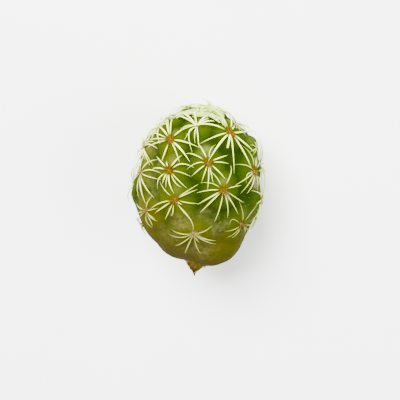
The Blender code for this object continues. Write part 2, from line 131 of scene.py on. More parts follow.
# Upper stars: number, areole, length of the spines that fill its hidden side by rule as a
# share of the usual one, and its spines. Places are across and up in the measured plane,
# in millimetres. A spine is its tip, or a point it bends over and then its tip.
UPPER_STARS = (
    (7, (2.3, 9.8), 0.6, ((1.1, 11.3), (3.9, 10.1), (3.3, 9.0), (1.3, 9.3))),
    (9, (-3.4, 8.9), 0.7,
     ((-5.0, 8.4), (-0.8, 10.2), (-1.3, 9.8), (-3.3, 7.4), (-2.5, 10.2), (-4.4, 9.8))),
    (10, (4.8, 8.0), 0.5, ((6.0, 7.6), (3.9, 9.0), (5.3, 8.5), (5.9, 6.8))),
    (12, (0.0, 8.0), 0.0,
     ((-0.2, 9.9), (-1.9, 9.6), (-2.5, 9.2), (-1.9, 7.7), (1.6, 9.3), (1.5, 8.9), (2.2, 8.6),
      (0.3, 5.4), (-0.2, 6.0), (-0.9, 7.0, -0.5, 4.8), (-1.5, 6.3))),
    (14, (-4.5, 7.8), 0.8, ((-6.0, 6.4), (-5.6, 6.8), (-4.4, 5.9), (-5.4, 8.3), (-3.5, 8.7))),
    (15, (4.0, 7.2), 0.0,
     ((1.1, 8.0, -2.0, 7.4), (0.4, 5.9), (1.4, 3.8), (3.7, 5.4), (4.2, 5.2, 4.5, 2.3),
      (5.5, 4.7, 6.6, 2.9), (5.7, 5.75, 7.0, 4.8), (7.2, 7.5), (4.6, 8.0), (4.1, 9.8),
      (0.9, 10.2))),
    (17, (-3.1, 6.3), 0.0,
     ((-2.9, 9.0), (-3.7, 8.8), (-4.5, 7.9), (-5.7, 6.3), (-5.9, 5.4), (-3.8, 4.6, -4.2, 3.8),
      (-2.0, 3.5), (-0.8, 3.7), (-1.5, 6.0, 0.4, 5.4), (-0.9, 8.0), (-5.4, 7.2))),
    (18, (7.1, 5.3), 0.45, ((6.9, 6.2), (6.4, 5.8), (6.4, 5.0), (6.7, 4.5))),
    (20, (1.4, 3.6), 0.0,
     ((0.1, 6.0), (1.6, 5.0, 2.3, 5.8), (3.7, 4.5), (3.9, 3.5), (3.5, 1.6), (2.0, 1.1),
      (1.3, 0.3), (0.6, 1.3), (-0.6, 2.0), (0.0, 3.5, -1.2, 2.8), (-0.3, 4.5, -1.3, 4.7))),
    (22, (-6.3, 5.5), 0.8,
     ((-5.0, 6.1), (-4.4, 7.5), (-5.5, 6.6), (-5.2, 3.3), (-5.6, 3.3), (-6.2, 4.0),
      (-6.6, 4.4), (-4.7, 5.3))),
    (23, (6.9, 2.6), 1.0,
     ((4.5, 3.4), (6.4, 4.4, 5.4, 5.7), (6.9, 4.3), (6.0, 2.2, 6.0, 1.1), (4.6, 0.9), (5.2, -0.1),
      (6.0, -0.1), (7.2, 0.3), (8.4, 2.5), (7.6, -0.3), (7.1, 4.4), (7.5, 4.0))),
    (25, (-3.3, 2.7), 0.0,
     ((-4.8, 4.4), (-3.6, 3.8), (-1.8, 4.5), (-1.8, 3.4, -0.3, 3.0), (-0.6, 1.9), (-1.1, 0.5),
      (-2.5, 1.2, -1.8, 0.7), (-3.2, 1.2, -2.7, -0.1), (-3.7, 0.6), (-4.1, 1.1),
      (-4.4, 1.7, -4.7, 0.5), (-5.3, 2.9))),
    (28, (3.2, 0.4), 0.0,
     ((1.4, 2.8), (1.8, 1.1, 0.4, 1.2), (0.0, 0.0), (0.1, -1.4), (0.4, -2.4), (2.1, -3.5),
      (3.7, -3.0), (5.0, -2.6), (5.7, -1.2), (5.4, 0.9), (4.0, 2.2, 4.1, 3.3))),
    (30, (-6.7, 2.4), 1.0,
     ((-4.6, 4.0), (-5.4, 2.7, -4.2, 2.3), (-4.3, 1.6), (-5.1, -0.6), (-6.1, -1.3),
      (-6.9, -0.7), (-7.5, 1.7), (-7.7, 0.8), (-6.9, 4.6), (-6.3, 4.5))),
    (31, (7.6, -0.7), 0.7, ((6.5, 0.3), (7.3, -2.1, 6.4, -3.4), (7.8, 0.8), (7.1, -1.3))),
    (33, (-2.6, -0.8), 0.0,
     ((-4.4, 1.4), (0.3, 1.1), (0.1, 0.4), (0.3, -1.3), (-0.7, -3.1, -0.5, -4.5), (-0.6, -3.3),
      (-2.8, -2.3, -3.1, -2.7), (-3.8, -3.2), (-5.0, -2.4), (-4.3, -1.2, -5.6, -2.0),
      (-1.7, -1.4))),
    (36, (5.4, -3.7), 0.0,
     ((5.1, -1.0), (6.4, -2.2, 7.5, -0.9), (6.7, -3.7), (6.2, -4.5), (5.8, -4.8),
      (4.3, -3.1, 3.9, -3.9), (3.4, -4.6), (3.5, -5.4), (4.2, -5.4))),
    (38, (-6.0, -2.1), 0.0,
     ((-5.3, -0.3), (-7.2, -1.2), (-7.2, -2.5), (-6.9, -3.3), (-4.6, -1.8), (-4.7, -3.4),
      (-5.0, -3.1), (-5.4, -3.4, -5.3, -4.0), (-5.9, -3.3, -5.3, -4.2), (-7.0, -1.6))),
    (41, (-0.4, -4.9), 0.0,
     ((-3.0, -4.4), (-2.0, -5.2, -3.4, -4.9), (-2.6, -6.3), (-1.4, -7.2), (0.6, -7.3),
      (0.3, -5.9), (2.3, -6.1), (2.3, -5.7), (1.9, -3.9))),
    (43, (-6.5, -3.8), 0.6, ((-6.4, -4.5), (-7.3, -2.8))),
)

# How amber the roots of a star are, where it was measured, and the usual range elsewhere
AMBER = {9: 0.6, 10: 0.1, 12: 0.3, 15: 1.0, 17: 1.0, 18: 0.3, 20: 1.0, 22: 0.8, 23: 1.0, 25: 1.0,
         28: 1.0, 30: 0.75, 33: 1.0, 36: 0.95, 38: 0.8, 41: 0.55}
USUAL_AMBER = (0.35, 0.95)
YOUNG_AMBER = 0.1

# Stars whose spines are stouter or slimmer than the rest
STOUTNESS = {7: 0.7, 10: 0.5, 12: 1.1, 15: 1.15, 17: 1.15, 18: 0.7, 33: 0.85, 36: 0.65, 38: 0.75,
             41: 0.85}

# How dull a star's spines are, where it was measured: painted shade, greyer where the star was in
# shade.
# Elsewhere they dull over a range of stars
DULLNESS = {7: 0.2, 10: 0.75, 18: 0.4, 20: 0.1, 23: 0.55, 25: 0.0, 28: 0.45, 30: 0.15, 33: 0.35,
            36: 0.85, 38: 0.55, 41: 0.8}
DULL_STARS = (20, 44)
DULLEST_BY_RULE = 0.7

# Share of the usual range of girths that single spines have, by star and by spine, and one
# spine with a blunt end
GIRTH_SHARES = {
    7: {0: 1.5}, 12: {0: 0.9, 1: 1.2, 2: 1.2, 4: 1.2, 5: 1.2, 6: 1.1},
    15: {0: 0.7, 1: 0.8, 2: 1.3, 5: 0.6, 6: 0.6, 7: 1.3, 9: 0.6, 10: 1.3},
    17: {0: 0.6, 1: 0.7, 2: 0.9, 4: 0.7, 7: 1.3, 8: 0.6}, 20: {2: 0.4, 3: 0.45}, 25: {0: 0.9},
}
BLUNT_SPINE = (15, 3)
BLUNT_RADIUS = 0.12 * MM

# Spines that lie lower than by rule, and the places that they pass in the measured plane
LOW_SPINES = {(15, 7): ((4.6, 7.2), (5.3, 7.3), (6.0, 7.38), (6.6, 7.45))}
LOW_CLEARANCE = 0.12 * MM

# A separate run of luck for each use, told apart by a multiple of the areole count
LUCK_RUNS = {"pale": 1, "amber": 2, "wool": 3, "tuft": 4, "web": 5, "grey": 6, "worn": 7}

# Pad of felt that fills an areole, with the waves of its edge to a radius and of its surface
# to a metre
PAD_SPREAD = 0.88
PAD_RAGGEDNESS = 0.9
PAD_HEIGHT = 0.22 * MM
PAD_SINK = 0.10 * MM
PAD_RINGS = 5
PAD_SPOKES = 18
PAD_ROUGHNESS = 0.035 * MM
PAD_EDGE_WAVES = 2.0
PAD_WAVES = 9000.0

# Wool hairs of an areole: where their roots are as shares of its radius, how high over the
# skin, and how far they lean out along it and away from it
WOOL_COUNT = 16
WOOL_LENGTHS = (0.25 * MM, 0.55 * MM)
WOOL_WIDTH = 0.022 * MM
WOOL_ROOTS = (0.2, 0.9)
WOOL_ROOT_LIFT = 0.05 * MM
WOOL_LEANS = (0.4, 1.2)
WOOL_RISES = (0.2, 0.9)
WOOL_SHADE = 0.5

# Young hairs that tangle over the apex
TUFT_STARS = 10
TUFT_COUNT = 26
TUFT_LENGTHS = (0.5 * MM, 1.3 * MM)
TUFT_WIDTH = 0.06 * MM
TUFT_LIFT = 0.2 * MM
TUFT_RISES = (-0.1, 0.2)

# Bundles of long hairs that lean over the apex, and grey ones that hang from lower stars,
# in the measured plane: root, tip, how far both stray, how many and how wide in millimetres
WEB_BUNDLES = (
    ((3.4, 8.3), (1.9, 10.2), 0.16, 10, 0.17),
    ((2.8, 8.7), (1.1, 9.8), 0.20, 9, 0.17),
    ((3.0, 9.3), (1.9, 10.6), 0.12, 6, 0.17),
    ((-2.5, 9.2), (-0.8, 9.8), 0.10, 8, 0.15),
    ((-2.4, 9.4), (-0.4, 9.85), 0.10, 8, 0.13),
    ((-1.4, 9.6), (1.3, 9.75), 0.14, 11, 0.13),
    ((-0.4, 9.4), (1.6, 9.3), 0.16, 9, 0.12),
    ((-4.3, 8.1), (-5.7, 6.9), 0.20, 9, 0.09),
    ((4.7, 8.2), (5.6, 7.7), 0.20, 10, 0.05),
    ((2.0, 10.2), (1.0, 11.4), 0.05, 4, 0.2),
)
GREY_BUNDLES = (
    ((6.8, 2.4), (7.2, 1.2), 0.20, 55, 0.045),
    ((6.9, 1.5), (7.2, 0.5), 0.18, 30, 0.04),
    ((3.35, -0.05), (3.85, -1.05), 0.20, 30, 0.025),
    ((-0.1, -4.9), (0.8, -5.6), 0.20, 30, 0.025),
    ((5.45, -3.7), (5.75, -4.3), 0.14, 14, 0.022),
    ((1.5, 3.3), (1.75, 2.8), 0.14, 16, 0.022),
    ((-2.5, -1.0), (-2.35, -1.5), 0.10, 9, 0.02),
)
WEB_CLEARANCE = 0.2 * MM
TUFT_CEILING = 0.1 * MM

# Rise of a hair's middle, how much of it a single hair has, and sway of its tip, as shares of
# its length, and how much of its width it loses to the tip. The nudge keeps a side for hairs
# that stand straight out
HAIR_BOW = 0.25
WEB_BOW = 0.04
BOW_SHARES = (0.3, 1.0)
HAIR_SWAY = 0.25
HAIR_TAPER = 0.8
HAIR_SIDE_NUDGE = 0.01
HAIR_STEPS = 5
HAIR_SIDES = 4

# Skin places in the measured plane: across, up, radius and strength
PALE_PLACES = ((-2.9, 4.0, 0.6, 0.6), (1.16, 5.26, 0.8, 0.9), (3.32, 1.3, 0.6, 0.7))
# The measured worn places are partly a painted sheen.
WEAR_AND_SHEEN_PLACES = ((-1.96, -3.5, 1.5, 0.8), (1.16, -2.66, 1.1, 0.6), (2.72, -4.28, 1.3, 0.9),
               (0.2, -7.2, 1.9, 0.9), (-3.3, -5.2, 1.6, 0.7), (-0.4, -4.6, 1.2, 0.5),
               (-6.0, 5.6, 1.8, 0.8), (-6.0, 0.8, 2.0, 0.5), (-4.9, 3.0, 1.4, 0.4))
SPECKLED_PLACES = ((6.2, -1.3, 1.3, 1.0), (3.3, -6.3, 1.5, 0.6))

# Pale and worn places by rule: where, how wide and how strong
PALE_RISE = 1.15 * MM
PALE_RADIUS = 0.62 * MM
PALE_STRENGTHS = (0.1, 0.4)
HIDDEN_WORN_COUNT = 24
HIDDEN_WORN_ACROSS = 0.8
HIDDEN_WORN_ALONG = (-1.8, 0.1)
HIDDEN_WORN_RADII = (1.0 * MM, 2.2 * MM)
HIDDEN_WORN_STRENGTHS = (0.35, 0.8)

# Stub of the stalk that joined the offset to its parent: rings of (place, radius)
STUB_RINGS = (
    ((0.72, -6.90, 1.75), 1.95),
    ((0.76, -8.05, 1.50), 1.38),
    ((0.88, -9.05, 1.20), 0.70),
    ((0.82, -9.53, 0.95), 0.30),
    ((0.86, -9.95, 0.75), 0.15),
    ((0.88, -10.42, 0.60), 0.02),
)
STUB_SIDES = 36
STUB_STEPS = 48
STUB_EASING = 3
STUB_RIDGES = 5
STUB_RIDGE_DEPTH = 0.05
STUB_RIDGE_TWIST = 2.0
STUB_DENT_DEPTH = 0.14
STUB_DENT_WAVES = 1.8

# Dry sliver of bark along the stub and the tiny bud beside it: across and up in the measured
# plane, and depth, in millimetres
SLIVER_PATH = ((-0.36, -9.62, -1.65), (0.05, -9.30, -1.1), (0.46, -8.98, -0.8),
               (0.80, -8.70, -0.7))
SLIVER_WIDTH = 0.17 * MM
SLIVER_STEPS = 14
SLIVER_BLUNTNESS = 1.04
BUD_PLACE = (0.95, -8.72, -0.8)
BUD_SIZE = (0.15 * MM, 0.20 * MM, 0.15 * MM)
BUD_GRID = 10

# Colours, as linear red, green and blue
FRESH_GREEN = (0.0185, 0.036, 0.00005)
# Olive of age, with a painted warm reflection on the left and below
OLIVE_GREEN = (0.037, 0.035, 0.00005)
# Painted shade of the creases
CREASE_SHADE_GREEN = (0.006, 0.015, 0.00005)
PALE_OLIVE = (0.085, 0.092, 0.014)
# Whitish wear, partly a painted sheen
WEAR_AND_SHEEN_WHITE = (0.130, 0.116, 0.036)
# Painted shade and warm reflection at the base
BASE_SHADE_BROWN = (0.036, 0.026, 0.0002)
SPINE_CREAM = (0.84, 0.97, 0.19)
SPINE_GREEN = (0.26, 0.42, 0.02)
# Grey of spines in painted shade
SPINE_DULL = (0.17, 0.175, 0.042)
SPINE_AMBER = (0.078, 0.036, 0.00005)
FELT_AMBER = (0.084, 0.041, 0.00005)
FELT_BROWN = (0.038, 0.015, 0.00005)
FELT_PALE = (0.11, 0.085, 0.025)
WOOL_CREAM = (0.30, 0.26, 0.11)
WOOL_AMBER = (0.075, 0.037, 0.00005)
WOOL_GREY = (0.15, 0.12, 0.05)
TUFT_PALE = (0.74, 0.84, 0.32)
STUB_OLIVE = (0.043, 0.027, 0.00005)
STUB_BROWN = (0.046, 0.020, 0.00005)
SLIVER_PINK = (0.17, 0.095, 0.033)
FLOOR_WHITE = (0.93, 0.93, 0.92)

# Places of a colour mix node's factor, first and second colour and result
MIX_COLOUR_INPUTS = (0, 6, 7)
MIX_COLOUR_OUTPUT = 2

# Floor, lights (name, place, width, power) and sky
FLOOR_WIDTH = 1.2
FLOOR_DROP = -0.02 * MM
LIGHTS = (
    ("key", (-0.12, 0.20, 0.28), 0.20, 9.5),
    ("fill", (0.28, 0.04, 0.20), 0.25, 2.8),
)
SKY_COLOUR = (1.0, 0.99, 0.97, 1.0)
SKY_STRENGTH = 0.8


def unit(vectors):
    """Vectors of length one, for one vector or for rows of them."""
    return vectors / np.linalg.norm(vectors, axis=-1, keepdims=True)


def luck_for(use, number=0):
    """The run of luck for one use, and for one areole where a number is given."""
    return random.Random(number + LUCK_RUNS[use] * AREOLE_COUNT)


def by_polar(directions, millimetres):
    """A size that is given against the angle from the apex."""
    from_apex = np.arccos(np.clip(directions[..., 1], -1.0, 1.0))
    return np.interp(from_apex, POLAR_STEPS, millimetres) * MM


def egg_radius(directions):
    """Distance from the waist centre to the egg without its tubercles."""
    along = directions[..., 1]
    outward = np.hypot(directions[..., 0], directions[..., 2])
    length = np.where(along > 0.0, APEX_LENGTH, BASE_LENGTH)
    power = np.where(along > 0.0, APEX_POWER, BASE_POWER)
    egg = ((np.abs(along) / length) ** power + (outward / STEM_RADIUS) ** power) ** (-1.0 / power)
    swelling = 0.0
    for direction, height, reach in LOBES:
        apart = np.linalg.norm(directions - unit(np.array(direction)), axis=-1) * BASE_LENGTH
        swelling += height * MM * np.clip(1.0 - (apart / (reach * MM)) ** 2, 0.0, 1.0) ** 2
    return egg + swelling


def crown_radius(directions):
    """Distance from the waist centre to a smooth skin over the crowns of the tubercles."""
    return egg_radius(directions) + by_polar(directions, TUBERCLE_HEIGHTS)


def height_over_crowns(points):
    """How far outside the crowns' smooth skin each point is."""
    return np.linalg.norm(points, axis=-1) - crown_radius(unit(points))


def from_measured_plane(points):
    """Turn points from the axes of the measured plane to the stem's own axes."""
    across, up, depth = np.moveaxis(points, -1, 0)
    x = math.cos(EYE_TURN) * across - math.sin(EYE_TURN) * up
    leaned = math.sin(EYE_TURN) * across + math.cos(EYE_TURN) * up
    y = math.cos(EYE_TILT) * leaned + math.sin(EYE_TILT) * depth
    z = math.cos(EYE_TILT) * depth - math.sin(EYE_TILT) * leaned
    return np.stack((x, y, z), axis=-1)


def point_at_depth(across, up, depth):
    """The point at a depth that the eye sees at this place in the measured plane."""
    nearness = (EYE_DISTANCE - depth) / EYE_DISTANCE
    ray = np.stack((across * MM * nearness, up * MM * nearness, depth), axis=-1)
    return from_measured_plane(ray)


def point_seen_at(across, up, clearance):
    """The point over the crowns that the eye sees at this place in the measured plane."""
    ray = point_at_depth(across, up, np.linspace(*SEARCHED_DEPTHS) * MM)
    excess = height_over_crowns(ray) - clearance
    inside = np.flatnonzero(excess <= 0.0)
    return ray[inside[0]] if len(inside) else ray[np.argmin(excess)]


def tip_seen_at(areole, across, up, clearance):
    """Tip of a measured spine, lying over the crowns or standing out beyond their outline.

    One that stands out ends half way back to the depth of its areole.
    """
    tip = point_seen_at(across, up, clearance)
    if height_over_crowns(tip) <= LYING_HEIGHT:
        return tip
    towards_eye = np.array((0.0, math.sin(EYE_TILT), math.cos(EYE_TILT)))
    return point_at_depth(across, up, 0.5 * (tip + areole) @ towards_eye)


def areole_directions():
    """Direction of each areole from the waist centre, from the spiral or as measured."""
    numbers = np.arange(AREOLE_COUNT)
    polar = SPIRAL_SCALE * (numbers + SPIRAL_START) ** SPIRAL_POWER
    bearing = TOP_BEARING + DIVERGENCE * (numbers - TOP_AREOLE)
    directions = np.stack((np.sin(polar) * np.sin(bearing), np.cos(polar),
                           np.sin(polar) * np.cos(bearing)), axis=-1)
    for star in UPPER_STARS:
        directions[star[0]] = unit(point_seen_at(*star[1], 0.0))
    return directions


def tubercle_heights(directions):
    """Height of each tubercle over the egg. The resting ones reach just below the surface."""
    heights = by_polar(directions, TUBERCLE_HEIGHTS)
    for number in RESTING_TUBERCLES:
        reach = (WAIST_CENTRE[2] + PRESSED_DEPTH) / -directions[number, 2]
        heights[number] = reach - egg_radius(directions[number])
    return heights


def relief(directions, areoles, heights):
    """Height of the skin over the egg, with soft creases between the tubercles."""
    radius = egg_radius(directions)
    feet = areoles * egg_radius(areoles)[:, None]
    apart = np.linalg.norm((directions * radius[:, None])[:, None] - feet[None], axis=-1)
    domes = heights * (1.0 - (apart / by_polar(areoles, TUBERCLE_REACHES)) ** 2)
    raised = np.exp(np.clip(domes, 0.0, None) / CREASE_SOFTNESS) - 1.0
    return CREASE_SOFTNESS * np.log1p(raised.sum(axis=1))


def tangents(direction):
    """Two directions in the skin at an areole: towards the apex, and across."""
    across = unit(np.cross(direction, (0.0, 1.0, 0.0)))
    return np.cross(across, direction), across


def way_at(direction, angle):
    """The way in the skin that leaves an areole at this angle from the apex side."""
    towards_apex, across = tangents(direction)
    return math.cos(angle) * towards_apex + math.sin(angle) * across


def spine(areole, tip, over, luck):
    """One spine: its start, control point, tip and width at the root."""
    start = areole + unit(tip - areole) * by_polar(unit(areole), AREOLE_RADII)
    start += unit(areole) * ROOT_HEIGHT
    if over is None:
        side = unit(np.cross(areole, tip - start)) * np.linalg.norm(tip - start)
        over = 0.5 * (start + tip) + side * luck.uniform(-SPINE_BOW, SPINE_BOW)
    width = SPINE_WIDTH * luck.uniform(1.0 - SPINE_WIDTH_SPREAD, 1.0 + SPINE_WIDTH_SPREAD)
    return start, 2.0 * over - 0.5 * (start + tip), tip, width


def tip_by_rule(areole, angle, share, luck):
    """Tip of a spine that leaves its areole at this angle from the apex side."""
    length = share * by_polar(unit(areole), SPINE_LENGTHS)
    length *= luck.uniform(1.0 - SPINE_LENGTH_SPREAD, 1.0 + SPINE_LENGTH_SPREAD)
    direction = unit(areole + length * way_at(unit(areole), angle))
    return direction * (crown_radius(direction) + by_polar(direction, TIP_CLEARANCES))


def angle_of(areole, point):
    """Angle from the apex side at which a point lies round its areole."""
    towards_apex, across = tangents(unit(areole))
    return math.atan2((point - areole) @ across, (point - areole) @ towards_apex)


def angles_to_fill(angles):
    """Angles of extra spines wherever the star leaves a wide arc empty."""
    ordered = sorted(angles)
    extra = []
    for angle, following in zip(ordered, ordered[1:] + [ordered[0] + math.tau]):
        arc = following - angle
        if arc > WIDEST_EMPTY_ARC:
            count = round(arc / SPINE_SPACING) - 1
            extra += [angle + arc * (step + 1) / (count + 1) for step in range(count)]
    return extra


def star_spines(number, areole):
    """The spines of one star, measured ones first and then those placed by rule."""
    luck = random.Random(number)
    measured = {star[0]: star[2:] for star in UPPER_STARS}
    spines = []
    share = 1.0
    count = round(by_polar(unit(areole), SPINE_COUNTS) / MM)
    angles = [math.tau * (turn + luck.uniform(-TURN_SPREAD, TURN_SPREAD)) / count
              for turn in range(count)]
    if number in measured:
        share, places = measured[number]
        for place in places:
            clearance = by_polar(unit(areole), TIP_CLEARANCES)
            tip = tip_seen_at(areole, *place[-2:], clearance)
            over = point_seen_at(*place[:2], clearance) if len(place) == 4 else None
            spines.append(spine(areole, tip, over, luck))
        angles = angles_to_fill([angle_of(areole, made[2]) for made in spines]) if share else []
    for angle in angles:
        spines.append(spine(areole, tip_by_rule(areole, angle, share, luck), None, luck))
    return spines


def above_floor(points, clearance):
    """Points that would come closer to the surface than this are pressed to a thin layer."""
    lowest = clearance - WAIST_CENTRE[2]
    pressed = np.array(points)
    pressed[..., 2] += np.clip(lowest - pressed[..., 2], 0.0, None) * (1.0 - PRESSED_SHARE)
    return pressed


def spine_path(made, shares):
    """Points at these shares of a spine's length.

    They are lifted to arch low over the crowns, or stay on the way to a tip that stands higher.
    """
    start, control, tip, width = made
    share = shares[:, None]
    points = (1.0 - share) ** 2 * start + 2.0 * share * (1.0 - share) * control + share ** 2 * tip
    lift = (1.0 - shares) * height_over_crowns(start)
    lift += shares * min(height_over_crowns(tip), LYING_HEIGHT)
    lift += SPINE_RISE * np.linalg.norm(tip - start) * 4.0 * shares * (1.0 - shares)
    directions = unit(points)
    radius = np.maximum(np.linalg.norm(points, axis=1), crown_radius(directions) + lift)
    points = directions * radius[:, None]
    return above_floor(points, FLOOR_CLEARANCE + 0.5 * width)


def line_through(knots, shares):
    """Points at these shares of a line through its knots, with the corners rounded."""
    at_knots = np.linspace(0.0, 1.0, len(knots))
    return np.stack([eased(np.interp(shares, at_knots, values), 1) for values in knots.T], axis=-1)


def low_path(start, places, tip, shares):
    """Points at these shares of a spine that passes its places close over the crowns."""
    passed = [point_seen_at(*place, LOW_CLEARANCE) for place in places]
    return line_through(np.array((start, *passed, tip)), shares)


class Strands:
    """Tapered tubes gathered into one mesh, with named values kept at every point."""

    def __init__(self, sides):
        self.sides = sides
        self.points = []
        self.faces = []
        self.values = {}
        self.count = 0

    def add(self, path, radii, side, **values):
        """One tube along a path, with a radius at each of its points and flat ends.

        Its upper side is the one that faces away from the skin.
        """
        along = unit(np.gradient(path, axis=0))
        upper = unit(np.cross(along, side))
        beside = np.cross(upper, along)
        turns = np.arange(self.sides) * math.tau / self.sides
        ring = np.cos(turns)[None, :, None] * beside[:, None]
        ring = ring + np.sin(turns)[None, :, None] * upper[:, None]
        tube = path[:, None] + ring * radii[:, None, None]
        corner = self.count + np.arange(len(path) * self.sides).reshape(len(path), self.sides)
        following = np.roll(corner, -1, axis=1)
        walls = np.stack((corner[:-1], following[:-1], following[1:], corner[1:]), axis=-1)
        self.faces += walls.reshape(-1, 4).tolist()
        self.faces.append(corner[0, ::-1].tolist())
        self.faces.append(corner[-1].tolist())
        self.points.append(tube.reshape(-1, 3))
        self.count += len(path) * self.sides
        kept = {name: np.reshape(value, (-1, 1)) for name, value in values.items()}
        # Which side faces away from the skin; the paints put painted shade on the other side.
        kept["upper"] = np.sin(turns)[None]
        for name, value in kept.items():
            spread = np.broadcast_to(value, (len(path), self.sides))
            self.values.setdefault(name, []).append(spread.reshape(-1))

    def make(self, name, material):
        """The finished object."""
        values = {kept: np.concatenate(parts) for kept, parts in self.values.items()}
        return add_object(name, np.concatenate(self.points), self.faces, material, **values)


def add_to_scene(name, data):
    """An object that shows this mesh, light or camera in the scene."""
    made = bpy.data.objects.new(name, data)
    bpy.context.scene.collection.objects.link(made)
    return made


def add_object(name, points, faces, material, **values):
    """An object of the cactus, moved from the waist centre to its place, that rides on it.

    The values, one at each point, are kept for its material.
    """
    mesh = bpy.data.meshes.new(name)
    placed = np.array(points) + WAIST_CENTRE
    placed[:, 2] = np.clip(placed[:, 2], 0.0, None)
    mesh.from_pydata(placed.tolist(), [], faces)
    mesh.materials.append(material)
    mesh.shade_smooth()
    made = add_to_scene(name, mesh)
    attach(made, "root")
    for value, at_points in values.items():
        layer = mesh.attributes.new(value, "FLOAT", "POINT")
        layer.data.foreach_set("value", np.asarray(at_points, dtype=np.float32))
    return made


def cube_sphere(grid):
    """Directions and quad faces of a cube's gridded faces, drawn out evenly to a sphere."""
    row, column = np.meshgrid(np.arange(grid + 1), np.arange(grid + 1), indexing="ij")
    corner = np.arange((grid + 1) ** 2).reshape(grid + 1, grid + 1)
    square = np.stack((corner[:-1, :-1], corner[1:, :-1], corner[1:, 1:], corner[:-1, 1:]), axis=-1)
    square = square.reshape(-1, 4)
    places = []
    faces = []
    for axis in range(3):
        for end in (0, grid):
            side = np.stack((np.full_like(row, end), row, column), axis=-1).reshape(-1, 3)
            outward = square[:, ::-1] if end == 0 else square
            faces.append(outward + len(places) * len(side))
            places.append(np.roll(side, axis, axis=1))
    places, joined = np.unique(np.concatenate(places), axis=0, return_inverse=True)
    faces = joined.reshape(-1)[np.concatenate(faces)]
    return unit(np.tan((places / grid - 0.5) * 0.5 * math.pi)), faces


def patch(points, middle, radius, strength):
    """The share of a soft round patch that each point has, fading out from its middle."""
    apart = np.linalg.norm(points - middle, axis=1)
    return strength * np.exp(-((apart / radius) ** 2))


def measured_shares(points, places):
    """Each point's share of the patches at measured places."""
    shares = np.zeros(len(points))
    for across, up, radius, strength in places:
        middle = point_seen_at(across, up, 0.0)
        shares = np.maximum(shares, patch(points, middle, radius * MM, strength))
    return shares


def make_skin(areoles, heights, crowns, material):
    """The stem's skin, with the values that colour it."""
    directions, faces = cube_sphere(SKIN_GRID)
    height = relief(directions, areoles, heights)
    bare = directions * (egg_radius(directions) + height)[:, None]
    for waves, depth in DENTS:
        height += depth * np.array([noise.noise(Vector(point) * waves) for point in bare])
    points = directions * (egg_radius(directions) + height)[:, None]
    crease = np.clip(1.0 - height / by_polar(directions, TUBERCLE_HEIGHTS), 0.0, 1.0)
    return add_object("skin", points, faces.tolist(), material, crease=crease,
                      pale=pale_shares(points, areoles, crowns), worn=worn_shares(points),
                      speckled=measured_shares(points, SPECKLED_PLACES),
                      towards_base=0.5 - 0.5 * directions[:, 1], to_the_left=-directions[:, 0])


def pale_shares(points, areoles, crowns):
    """Pale patches on the apex side of the areoles, stronger where they were measured."""
    shares = measured_shares(points, PALE_PLACES)
    for number, crown in enumerate(crowns):
        strength = luck_for("pale", number).uniform(*PALE_STRENGTHS)
        middle = crown + PALE_RISE * tangents(areoles[number])[0]
        shares = np.maximum(shares, patch(points, middle, PALE_RADIUS, strength))
    return shares


def worn_shares(points):
    """Whitish patches, partly wear and partly a painted sheen, where they were measured, and others
    by rule low on the hidden side.
    """
    shares = measured_shares(points, WEAR_AND_SHEEN_PLACES)
    luck = luck_for("worn")
    for _ in range(HIDDEN_WORN_COUNT):
        outward = unit(np.array((luck.gauss(0.0, HIDDEN_WORN_ACROSS),
                                 luck.uniform(*HIDDEN_WORN_ALONG), -luck.random())))
        worn = patch(points, outward * egg_radius(outward), luck.uniform(*HIDDEN_WORN_RADII),
                     luck.uniform(*HIDDEN_WORN_STRENGTHS))
        shares = np.maximum(shares, worn)
    return shares


def amber_of(number):
    """How amber the roots of a star are. Those of the apex are still pale."""
    usual = luck_for("amber", number).uniform(*USUAL_AMBER)
    return AMBER.get(number, YOUNG_AMBER if number < TUFT_STARS else usual)


def dullness_of(number):
    """How dull the spines of a star are: painted shade where it was measured. Elsewhere those
    nearer the base are older and duller.
    """
    return DULLNESS.get(number, np.interp(number, DULL_STARS, (0.0, DULLEST_BY_RULE)))


def spine_radii(shares, width):
    """Radius along a spine: slim at its root, stoutest near its middle and fine at its tip."""
    reach = np.interp(shares, SPINE_SHARES, SPINE_GIRTHS)
    return 0.5 * width * eased(reach, 1)


def make_spines(crowns, material):
    """Every spine of every star."""
    strands = Strands(SPINE_SIDES)
    shares = np.linspace(0.0, 1.0, SPINE_RINGS)
    along = np.concatenate(([SUNK_ROOT], shares))
    for number, crown in enumerate(crowns):
        for place, made in enumerate(star_spines(number, crown)):
            start, _, tip, width = made
            path = spine_path(made, shares)
            if (number, place) in LOW_SPINES:
                path = low_path(start, LOW_SPINES[number, place], tip, shares)
            root = crown + SUNK_SHARE * (path[0] - crown)
            path = np.concatenate((root[None], path))
            side = unit(np.cross(unit(crown), tip - start))
            luck = random.Random(number * SPINE_SEEDS + place).random()
            girth = GIRTH_SHARES.get(number, {}).get(place, luck)
            stoutness = SLIMMEST_SPINE + girth * (STOUTEST_SPINE - SLIMMEST_SPINE)
            radii = spine_radii(along, width * stoutness * STOUTNESS.get(number, 1.0))
            if (number, place) == BLUNT_SPINE:
                radii = np.full(len(along), BLUNT_RADIUS)
            strands.add(path, radii, side, along=along, luck=luck, amber=amber_of(number),
                        dull=dullness_of(number))
    return strands.make("spines", material)


